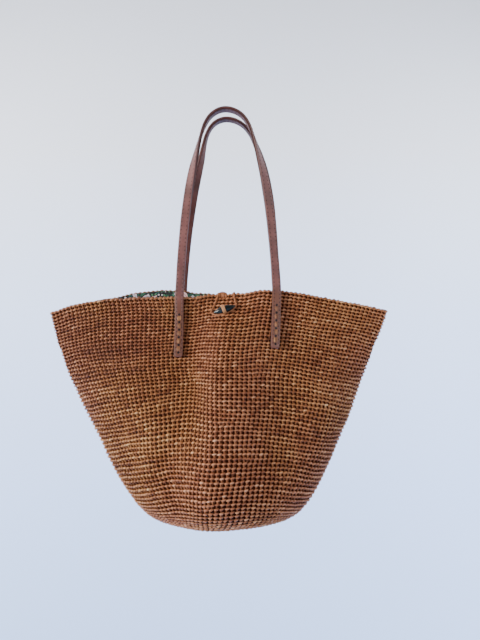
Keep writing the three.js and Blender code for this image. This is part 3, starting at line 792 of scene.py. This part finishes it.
def end_stitches(name, frame_of):
    """The raffia that holds a strap's ends to the wall, in flat bundles from hole to hole, and the holes as
    dark discs of painted shade.
    """
    at = frame_of[0]
    bundles, hole_shades = Strands(5), Strands(10)
    for from_end in (False, True):
        low = HOLE_FIRST + HOLE_PITCH * np.arange(HOLE_COUNT)
        run = (at[-1] - low if from_end else low)[:, None] + np.zeros((HOLE_COUNT, 4))
        level = STRAP_THICK / 2 + np.array([[-0.8, -0.5, 0.09, 0.13]]) + 0 * run
        line = at_run(frame_of, run, 0 * run, level)
        side = at_run(frame_of, run, 1 + 0 * run, level) - line
        hole_shades.add(line, side, unit(np.cross(side, np.gradient(line, axis=1))),
                  np.full((HOLE_COUNT, 2), HOLE_WIDE), np.full((HOLE_COUNT, 2), HOLE_LONG),
                  np.full(HOLE_COUNT, 0.5))
        for i in range(HOLE_COUNT - 1):
            for away, up in BUNDLE:
                t = np.linspace(0, 1, 6)[None]
                run = mix(low[i] + BUNDLE_GAP, low[i + 1] - BUNDLE_GAP, t) + rng.normal(0, 0.3, (1, 1))
                run = at[-1] - run if from_end else run
                above = STRAP_THICK / 2 + np.array([[-0.6, 0.2, 0.4, 0.4, 0.2, -0.6]])
                above = above + up * np.sin(np.pi * t)
                aside = away * (0.35 + 0.65 * np.sin(np.pi * t)) + rng.normal(0, 0.15, (1, 1))
                line = at_run(frame_of, run, aside, above)
                out = at_run(frame_of, run, aside, above + 1) - line
                bundles.add(line, *sides_of(line, out), np.full((1, 4), BUNDLE_WIDE),
                            np.full((1, 4), BUNDLE_THICK), np.array([0.28 + rng.normal(0, 0.25)]))
    return bundles.build(name + "_raffia"), hole_shades.build(name + "_holes")


straps = {}
for side_name, front_side in (("front", True), ("back", False)):
    strap, frame_of = strap_mesh(f"{side_name}_strap", front_side)
    straps[side_name] = (strap, strap_stitches(f"{side_name}_strap_stitches", frame_of),
                         *end_stitches(f"{side_name}_strap", frame_of))

# Toggle, binding and loop

TOGGLE_LENGTH = 29.5
TOGGLE_RADIUS = 4.8
TOGGLE_TILT = math.radians(24)
TOGGLE_ASIDE = 10.3
BINDING_WIDTH = 6.0
SPINDLE = [(0, 1), (0.22, 0.95), (0.47, 0.77), (0.7, 0.52), (0.88, 0.28), (0.97, 0.12), (1, 0)]

low, high = (np.array(c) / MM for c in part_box("toggle"))
toggle_centre = (low + high) / 2
toggle_out = way_out(np.array([toggle_centre[0] - SHIFT]), np.array([toggle_centre[2]]), True)[0]
toggle_level = unit(np.array([-toggle_out[1], toggle_out[0], 0]))
toggle_up = unit(np.cross(toggle_out, toggle_level))
toggle_up = toggle_up if toggle_up[2] > 0 else -toggle_up
toggle_along = toggle_level * math.cos(TOGGLE_TILT) + toggle_up * math.sin(TOGGLE_TILT)
toggle_across = toggle_up * math.cos(TOGGLE_TILT) - toggle_level * math.sin(TOGGLE_TILT)


def toggle_mesh():
    key = np.array(SPINDLE, float)
    half = np.stack([key[:, 0] * TOGGLE_LENGTH / 2, key[:, 1] * TOGGLE_RADIUS, 0 * key[:, 0]], 1)
    half = curve_through(half, 0.6)
    half[:, 1] = np.maximum(half[:, 1], 0)
    profile = np.vstack([half[::-1][:-1] * (-1, 1, 1), half])[1:-1]
    n, m = len(profile), 32
    turn = np.arange(m) * 2 * np.pi / m
    radius = profile[:, 1, None] * (0.96 + 0.02 * np.sin(2 * turn + profile[:, :1] / 6))
    spoke = toggle_across * np.cos(turn)[:, None] + toggle_out * np.sin(turn)[:, None]
    ring = toggle_centre + toggle_along * profile[:, :1, None] + radius[..., None] * spoke
    tips = [toggle_centre + toggle_along * hand * TOGGLE_LENGTH / 2 for hand in (-1, 1)]
    points = np.vstack([ring.reshape(-1, 3), tips])
    j = np.arange(m)
    k = (j + 1) % m
    tris = np.vstack([np.stack([k, j, np.full(m, n * m)], 1),
                      np.stack([(n - 1) * m + j, (n - 1) * m + k, np.full(m, n * m + 1)], 1)])
    return new_object("toggle_horn", points, [ring_quads(n, m), tris])


def binding_mesh():
    turns = 5
    t = np.linspace(0, 1, turns * 28 + 1)
    turn = t * turns * 2 * np.pi
    along = mix(-0.5, 0.5, t) * (BINDING_WIDTH - 1.9) + 0.35 * np.sin(turn * 0.37)
    tuck = 1 - smooth(0, 0.04, t) * (1 - smooth(0.96, 1, t))
    radius = TOGGLE_RADIUS + 0.1 - 0.8 * tuck + 0.12 * np.sin(turn / 2.3)
    spoke = toggle_across * np.cos(turn)[:, None] + toggle_out * np.sin(turn)[:, None]
    line = toggle_centre + toggle_along * along[:, None] + spoke * radius[:, None]
    parts = [cord_part(line, toggle_along, spoke, 0.8, 0.5, 0.8)]
    # The shank that the band is tied to the wall with
    for hand in (-1, 1):
        s = np.linspace(0, 1, 9)[:, None]
        start = toggle_centre + toggle_along * hand * 0.9 - toggle_out * (TOGGLE_RADIUS - 0.6)
        line = start - toggle_out * s * 2.6 + toggle_along * hand * s * 0.5
        parts.append(cord_part(line, toggle_along, toggle_across, 1.0, 1.0, 0.6))
    return join("toggle_band", parts)


LOOP_RADIUS = 1.4
LOOP_PROUD = 0.9
LOOP_NECK = 20.0
KNOT_ASIDE = 4.8


def loop_line():
    cord = LOOP_RADIUS
    beside = TOGGLE_RADIUS + 1 + 1.5 + cord

    def seat(x, z):
        x, z = np.array([x]), np.array([z])
        return (on_bag(x, z, True) + way_out(x, z, True) * (cord + LOOP_PROUD))[0]

    def round_toggle(share, away):
        spot = toggle_centre + toggle_along * share * TOGGLE_LENGTH / 2 + toggle_across * away
        return seat(spot[0] - SHIFT, spot[2])

    def half(hand):
        x = TOGGLE_ASIDE + hand * LOOP_NECK / 2
        back_top = rim_height(x, False)
        inside = []
        for below in (14.0, 7.0):
            z = np.array([back_top - below])
            at = on_bag(np.array([x]), z, False, 4.6)[0]
            inside.append(at - way_out(np.array([x]), z, False)[0] * (cord + 0.5))
        top = rim_height(x, True)
        face_y = seat(x, top - 2)[1] + cord + LOOP_PROUD
        over = [np.array([SHIFT + x, face_y + back, top + up])
                for back, up in ((5.3, 0.3), (1.5, 1.5), (-1.7, 0.2))]
        return inside + over + [
            seat(x + hand * 0.6, top - 3.2), *([round_toggle(hand * 0.9, 0.9 * beside)] if hand < 0 else []),
            round_toggle(hand * 1.07, 0.45 * beside), round_toggle(hand * 1.12, 0),
            round_toggle(hand * 0.75, -0.75 * beside), round_toggle(hand * 0.35, -beside),
        ]

    return half(-1) + half(1)[::-1]


def loop_mesh():
    at, (line,) = even(curve_through(loop_line(), 1.0), 0.7)
    way = unit(np.gradient(line, axis=0))
    side = unit(np.cross(way, np.array([0.3, 1, 0.2])))
    for i in range(1, len(side)):
        carried = side[i - 1] - way[i] * (side[i - 1] @ way[i])
        side[i] = carried / np.linalg.norm(carried)
    up = np.cross(way, side)
    ends = smooth(0, 3, at) * (1 - smooth(at[-1] - 3, at[-1], at))
    parts = []
    for ply in range(3):
        turn = at / 6.5 * 2 * np.pi + ply * 2 * np.pi / 3
        away = 0.54 + 0.05 * np.sin(at / 3.1 + ply)
        spoke = side * np.cos(turn)[:, None] + up * np.sin(turn)[:, None]
        ply_line = line + spoke * away[:, None]
        ply_way = unit(np.gradient(ply_line, axis=0))
        ply_side = unit(np.cross(ply_way, spoke))
        size = mix(0.35, 0.66, ends)
        parts.append(cord_part(ply_line, ply_side, np.cross(ply_side, ply_way), size, size,
                               0.46 + 0.08 * ply))
    # Raffia wound over the rim beside the loop's left leg, in a low knot
    for i, aside in enumerate(np.linspace(-5.6, 5.6, 8)):
        x = KNOT_ASIDE + aside
        top = rim_height(x, True)
        face_y = on_bag(np.array([x]), np.array([top - 2.0]), True)[0][1]
        lean = 0.5 * math.sin(2.3 * i)
        top += 2.3 * math.cos(aside / 6.6 * math.pi / 2) - 1.3
        route = [(x + SHIFT + lean, face_y - 0.6, top - 5.2), (x + SHIFT + lean, face_y - 1.7, top - 2.4),
                 (x + SHIFT, face_y - 0.5, top + 1.2), (x + SHIFT, face_y + 1.6, top + 2.0),
                 (x + SHIFT, face_y + 3.9, top + 0.8), (x + SHIFT - lean, face_y + 4.6, top - 2.6)]
        _, (turned,) = even(curve_through(np.array(route), 0.8), 0.8)
        turned_way = unit(np.gradient(turned, axis=0))
        turned_side = unit(np.cross(turned_way, np.cross(np.array([1.0, 0, 0]), turned_way)))
        size = 0.95 + 0.1 * math.sin(1.7 * i)
        parts.append(cord_part(turned, turned_side, np.cross(turned_side, turned_way), size, 0.75,
                               0.45 + 0.15 * math.sin(3.1 * i)))
    return join("loop_cord", parts)


toggle_horn = toggle_mesh()
toggle_band = binding_mesh()
loop_cord = loop_mesh()

# The lining: one layer of cotton, sewn in under the rim, with the small slack folds of a hand-sewn bag

LINING_DROP, LINING_THICK = 1.1, 0.7
upper_places = np.linspace(10, LAST, 200)
upper_heights = [at_x(p, np.float64(0), False)[2] for p in upper_places]
lining_top = float(np.interp(rim_height(0, False) - LINING_DROP, upper_heights, upper_places))


def lining_inset(place, angle):
    slack = 1.2 * (1 - smooth(lining_top - 2, lining_top, place))
    folds = (0.9 * np.sin(23 * angle + 1.7 * place) * np.sin(5 * angle + 0.9 * place)
             + 0.6 * np.sin(41 * angle - 2.1 * place + 1) * np.sin(3 * angle + place))
    pucker = 0.25 * np.sin(96 * angle) * smooth(lining_top - 1.2, lining_top - 0.2, place)
    loose = (1 - smooth(lining_top - 1, lining_top, place)) ** 0.5
    return 3.45 + slack + (0.35 + folds * 0.5) * loose + pucker + 0.25


lining_cloth = shell("lining_cloth", lining_inset, lambda p, a: lining_inset(p, a) + LINING_THICK,
                     lining_top, 70, 300)

# Materials


class Nodes:
    """A material whose nodes are added in short calls."""

    def __init__(self, name):
        self.material = bpy.data.materials.new(name)
        self.material.use_nodes = True
        self.tree = self.material.node_tree
        self.shader = self.tree.nodes["Principled BSDF"]

    def add(self, kind, **values):
        node = self.tree.nodes.new(kind)
        for key, value in values.items():
            if key in node.inputs:
                self.feed(node.inputs[key], value)
            else:
                setattr(node, key, value)
        return node

    def feed(self, socket, value):
        if isinstance(value, bpy.types.NodeSocket):
            self.tree.links.new(value, socket)
        else:
            socket.default_value = value

    def maths(self, operation, a, b=0.0, kind="ShaderNodeMath"):
        node = self.add(kind, operation=operation)
        self.feed(node.inputs[0], a)
        self.feed(node.inputs[1], b)
        return node.outputs[0]

    def ramp(self, value, stops, interpolation="LINEAR"):
        node = self.tree.nodes.new("ShaderNodeValToRGB")
        node.color_ramp.interpolation = interpolation
        ramp = node.color_ramp.elements
        while len(ramp) < len(stops):
            ramp.new(0.5)
        for element, (at, colour) in zip(ramp, stops):
            element.position = at
            element.color = (*colour, 1)
        self.feed(node.inputs[0], value)
        return node.outputs[0]

    def blend(self, kind, amount, a, b):
        node = self.tree.nodes.new("ShaderNodeMix")
        node.data_type = "RGBA"
        node.blend_type = kind
        self.feed(node.inputs[0], amount)
        self.feed(node.inputs[6], a)
        self.feed(node.inputs[7], b)
        return node.outputs[2]

    def noise(self, vector, scale, detail=3.0, roughness=0.5):
        return self.add("ShaderNodeTexNoise", Vector=vector, Scale=scale, Detail=detail,
                        Roughness=roughness).outputs[0]

    def stretched(self, vector, scale):
        return self.add("ShaderNodeMapping", Vector=vector, Scale=scale).outputs[0]

    def bump(self, height, strength, distance, **under):
        return self.add("ShaderNodeBump", Strength=strength, Distance=distance, Height=height,
                        **under).outputs[0]

    def place(self):
        return self.add("ShaderNodeTexCoord").outputs["Object"]

    def uv(self):
        return self.add("ShaderNodeUVMap", uv_map="UVMap").outputs[0]

    def tints(self):
        """The three values of the tint on each vertex."""
        tint = self.add("ShaderNodeVertexColor", layer_name="tint").outputs[0]
        return self.add("ShaderNodeSeparateColor", Color=tint).outputs

    def finish(self, **values):
        for key, value in values.items():
            self.feed(self.shader.inputs[key.replace("_", " ")], value)
        return self.material


def srgb(r, g, b):
    return tuple(((c / 255 + 0.055) / 1.055) ** 2.4 if c > 10 else c / 255 / 12.92 for c in (r, g, b))


def raffia_material(name, stops, shade):
    m = Nodes(name)
    parts, position, uv = m.tints(), m.place(), m.uv()
    fibres = m.noise(m.stretched(uv, (0.35, 2.6, 1)), 1.0, 4.0, 0.65)
    patch = m.noise(m.stretched(position, (16, 16, 20)), 1.0, 2.0)
    hue = m.noise(m.stretched(position, (11, 11, 8)), 1.0, 1.0)
    value = m.maths("ADD", parts[0], m.maths("MULTIPLY", m.maths("SUBTRACT", fibres, 0.5), 0.55))
    value = m.maths("ADD", value, m.maths("MULTIPLY", m.maths("SUBTRACT", patch, 0.5), 0.2))
    colour = m.ramp(value, stops)
    hues = m.ramp(hue, [(0.36, (1.0, 0.92, 0.98)), (0.62, (1.0, 1.0, 0.78))])
    colour = m.blend("MULTIPLY", 1.0, colour, hues)
    # Painted shade: strands darken towards their ends and towards the crevices on both sides, where shade
    # falls.
    ends = m.maths("SUBTRACT", 1.0, m.maths("MULTIPLY", parts[2], 2.8))
    sides = m.maths("MULTIPLY", m.maths("SUBTRACT", 1.0, parts[1]), 1.45)
    painted_shade = m.maths("MULTIPLY", m.maths("MAXIMUM", m.maths("MAXIMUM", ends, 0.0), sides), 0.8)
    colour = m.blend("MIX", m.maths("MINIMUM", painted_shade, 0.9), colour, (*shade, 1))
    bump = m.bump(m.noise(m.stretched(uv, (0.6, 7, 1)), 1.0, 3.0), 0.5, 0.0003)
    return m.finish(Base_Color=colour, Roughness=0.55, Normal=bump, Specular_IOR_Level=0.42)


RAFFIA_STOPS = [
    (0.0, srgb(80, 35, 12)), (0.3, srgb(125, 69, 33)), (0.5, srgb(156, 97, 56)),
    (0.72, srgb(187, 129, 86)), (1.0, srgb(224, 177, 136)),
]
raffia = raffia_material("raffia", RAFFIA_STOPS, srgb(52, 20, 5))

# Painted shade: the backing's near-black colour stands for the shade in the holes between the stitches.
painted_shade = Nodes("painted_shade_backing")
painted_shade_colour = painted_shade.ramp(painted_shade.noise(painted_shade.place(), 300.0, 2.0),
                        [(0.3, (0.026, 0.004, 0.0005)), (0.7, (0.05, 0.01, 0.002))])
shade_backing_material = painted_shade.finish(Base_Color=painted_shade_colour, Roughness=0.9, Specular_IOR_Level=0.1)

pale_raffia = raffia_material("pale_raffia", [
    (0.0, srgb(98, 58, 36)), (0.4, srgb(138, 92, 60)), (0.7, srgb(166, 114, 72)), (1.0, srgb(196, 146, 98)),
], srgb(60, 34, 20))


def leather_material():
    m = Nodes("leather")
    parts, place = m.tints(), m.place()
    soft = m.noise(place, 45.0, 3.0)
    fine = m.noise(place, 900.0, 3.0, 0.6)
    base = m.ramp(soft, [(0.3, srgb(84, 47, 43)), (0.5, srgb(101, 58, 54)), (0.7, srgb(121, 73, 67))])
    base = m.blend("MULTIPLY", 0.35, base, m.ramp(fine, [(0.35, (0.62, 0.6, 0.6)), (0.6, (1, 1, 1))]))
    base = m.blend("MIX", m.maths("MULTIPLY", parts[1], 0.75), base, (*srgb(98, 57, 38), 1))
    edge = m.maths("MULTIPLY", m.maths("MAXIMUM", m.maths("SUBTRACT", parts[0], 0.93), 0.0), 14.0)
    base = m.blend("MIX", m.maths("MINIMUM", edge, 0.85), base, (*srgb(64, 34, 30), 1))
    # Painted shade darkens the strap's inner side.
    base = m.blend("MULTIPLY", 1.0, base, parts[2])
    groove = m.maths("ABSOLUTE", m.maths("SUBTRACT", parts[0], 0.6))
    groove = m.maths("SUBTRACT", 1.0, m.maths("MULTIPLY", groove, 16.0))
    groove = m.maths("MAXIMUM", groove, 0.0)
    base = m.blend("MIX", m.maths("MULTIPLY", groove, 0.35), base, (*srgb(74, 40, 34), 1))
    grain = m.add("ShaderNodeTexVoronoi", Vector=place, Scale=1300.0).outputs[0]
    bump = m.bump(grain, 0.25, 0.00012)
    bump = m.bump(m.maths("MULTIPLY", groove, -1.0), 0.6, 0.0003, Normal=bump)
    rough = m.maths("ADD", 0.42, m.maths("MULTIPLY", soft, 0.22))
    shine = m.maths("MULTIPLY", m.maths("POWER", parts[2], 2.0), 0.45)
    return m.finish(Base_Color=base, Roughness=rough, Normal=bump, Specular_IOR_Level=shine)


def thread_material(name, dark_one, light_one, rough):
    m = Nodes(name)
    place = m.place()
    grain = m.noise(place, 1500.0, 3.0)
    colour = m.ramp(grain, [(0.3, dark_one), (0.7, light_one)])
    return m.finish(Base_Color=colour, Roughness=rough, Normal=m.bump(grain, 0.4, 0.0002))


def horn_material():
    m = Nodes("horn")
    place = m.place()
    streak = m.noise(m.stretched(place, (160, 420, 420)), 1.0, 4.0, 0.6)
    colour = m.ramp(streak, [(0.35, (0.0015, 0.003, 0.0035)), (0.6, (0.003, 0.008, 0.009)),
                             (0.85, (0.012, 0.03, 0.03))])
    rough = m.maths("ADD", 0.16, m.maths("MULTIPLY", streak, 0.16))
    return m.finish(Base_Color=colour, Roughness=rough, Normal=m.bump(streak, 0.08, 0.0002),
                    Specular_IOR_Level=0.35)


def print_material():
    """Black cotton with scattered leaves and small blossoms, each at its own turn."""
    m = Nodes("print")
    place = m.place()
    flat = m.stretched(place, (1000, 0, 1000))
    colour = m.ramp(m.noise(place, 30.0), [(0.3, srgb(13, 18, 22)), (0.7, srgb(24, 32, 36))])

    def scatter(under, size, long, wide, tints, offset, dense):
        spot = m.maths("ADD", flat, (offset, 0, offset * 0.7), "ShaderNodeVectorMath")
        cell = m.add("ShaderNodeTexVoronoi", Vector=spot, Scale=1.0 / size, Randomness=0.8)
        away = m.maths("SUBTRACT", spot, cell.outputs["Position"], "ShaderNodeVectorMath")
        chance = m.add("ShaderNodeSeparateColor", Color=cell.outputs["Color"]).outputs
        turned = m.add("ShaderNodeVectorRotate", rotation_type="Y_AXIS", Vector=away,
                       Angle=m.maths("MULTIPLY", chance[0], 6.283))
        part = m.add("ShaderNodeSeparateXYZ", Vector=turned.outputs[0]).outputs
        a = m.maths("POWER", m.maths("DIVIDE", m.maths("ABSOLUTE", part[0]), long), 1.6)
        b = m.maths("DIVIDE", m.maths("ABSOLUTE", part[2]), wide)
        body = m.maths("LESS_THAN", m.maths("ADD", a, b), 1.0)
        rib = m.maths("GREATER_THAN", m.maths("ABSOLUTE", part[2]), wide * 0.1)
        shown = m.maths("MULTIPLY", m.maths("MULTIPLY", body, rib), m.maths("LESS_THAN", chance[2], dense))
        return m.blend("MIX", shown, under, m.ramp(chance[1], tints, "CONSTANT"))

    colour = scatter(colour, 9.0, 7.0, 2.2, [(0.0, srgb(28, 72, 58)), (0.4, srgb(40, 92, 70)),
                                             (0.7, srgb(22, 60, 64))], 3.0, 0.75)
    colour = scatter(colour, 11.0, 6.0, 2.6, [(0.0, srgb(196, 186, 202)), (0.45, srgb(216, 176, 178)),
                                              (0.75, srgb(96, 142, 104))], 41.0, 0.6)
    colour = scatter(colour, 5.0, 2.0, 1.1, [(0.0, srgb(222, 214, 224)), (0.5, srgb(84, 140, 104))],
                     77.0, 0.35)
    weave = m.add("ShaderNodeTexWave", Vector=flat, Scale=0.9, Distortion=1.5).outputs[1]
    bump = m.bump(weave, 0.2, 0.0002)
    return m.finish(Base_Color=colour, Roughness=0.85, Normal=bump, Sheen_Weight=0.15)


leather = leather_material()
thread = thread_material("leather_thread", srgb(38, 17, 16), srgb(62, 32, 29), 0.8)
# Painted shade: near-black discs stand for the shade inside the stitch holes.
hole_shade_material = thread_material("stitch_holes", srgb(14, 6, 5), srgb(24, 12, 10), 0.95)
horn = horn_material()
printed = print_material()


def dress(piece, material, slot, *nodes):
    piece.data.materials.append(material)
    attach(piece, "root")
    if nodes:
        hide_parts(*nodes)


for piece in crochet_pieces + [crochet_edge]:
    dress(piece, raffia, "raffia")
dress(shade_backing, shade_backing_material, "raffia", "bag_body")
for side_name in ("front", "back"):
    strap, stitches, raffia_ends, hole_shades_of = straps[side_name]
    dress(strap, leather, "leather", f"{side_name}_handle")
    dress(stitches, thread, "leather")
    dress(raffia_ends, pale_raffia, "pale_raffia")
    dress(hole_shades_of, hole_shade_material, "leather")
dress(toggle_horn, horn, "horn", "toggle")
dress(toggle_band, pale_raffia, "pale_raffia", "toggle_binding")
dress(loop_cord, raffia, "raffia", "closure_loop")
dress(lining_cloth, printed, "print", "lining")

# Light, floor and backdrop


def studio(name, points, faces, colours):
    """The floor and the wall behind, which are no part of the object."""
    obj = new_object(name, points, [faces], True, 1.0)
    m = Nodes(name)
    place = m.place()
    shade = m.ramp(m.noise(place, 1.2, 2.0), [(0.3, (0.985, 0.985, 0.985)), (0.7, (1.0, 1.0, 1.0))])
    height = m.maths("ADD", m.add("ShaderNodeSeparateXYZ", Vector=place).outputs[2], 1.2)
    colour = m.ramp(m.maths("DIVIDE", height, 2.0), colours)
    colour = m.blend("MULTIPLY", 1.0, colour, shade)
    obj.data.materials.append(m.finish(Base_Color=colour, Roughness=0.95, Specular_IOR_Level=0.1))


sweep = [(-14.0, -1.5)] + [
    (1.0 + 1.3 * math.sin(a), -0.2 - 1.3 * math.cos(a)) for a in np.radians(np.linspace(0, 90, 25))
] + [(2.3, 4.0)]
studio_points = np.array([(x, y, z) for y, z in sweep for x in (-14, 14)])
studio_faces = np.array([(2 * i, 2 * i + 1, 2 * i + 3, 2 * i + 2) for i in range(len(sweep) - 1)])
studio("floor", studio_points, studio_faces, [(0.0, srgb(183, 210, 255)), (1.0, srgb(210, 213, 221))])


def area_light(name, at, towards, size, power, colour=(1, 1, 1)):
    data = bpy.data.lights.new(name, "AREA")
    data.shape = "RECTANGLE"
    data.size, data.size_y = size
    data.energy = power
    data.color = colour
    light = bpy.data.objects.new(name, data)
    light.location = at
    direction = np.array(towards) - np.array(at)
    yaw = math.atan2(direction[1], direction[0]) - math.pi / 2
    pitch = math.atan2(direction[2], math.hypot(direction[0], direction[1]))
    light.rotation_euler = (math.pi / 2 + pitch, 0, yaw)
    bpy.context.scene.collection.objects.link(light)


area_light("key", (-5.0, -2.6, 0.1), (0, 0, -0.4), (1.5, 1.7), 590, (1.0, 0.95, 0.87))
area_light("fill", (1.9, -1.7, 0.5), (0, 0, -0.3), (1.3, 1.3), 38, (1.0, 0.96, 0.93))
area_light("wall_left", (-1.6, 0.7, 0.4), (-0.3, 2.3, -0.3), (2.0, 2.4), 66, (0.94, 0.96, 1.0))
area_light("wall_right", (1.8, 0.7, 0.2), (0.7, 2.3, -0.5), (2.0, 2.4), 104, (0.88, 0.93, 1.0))

world = bpy.data.worlds.new("world")
bpy.context.scene.world = world
world.use_nodes = True
world.node_tree.nodes["Background"].inputs[0].default_value = (1.0, 0.96, 0.94, 1)
world.node_tree.nodes["Background"].inputs[1].default_value = 0.38
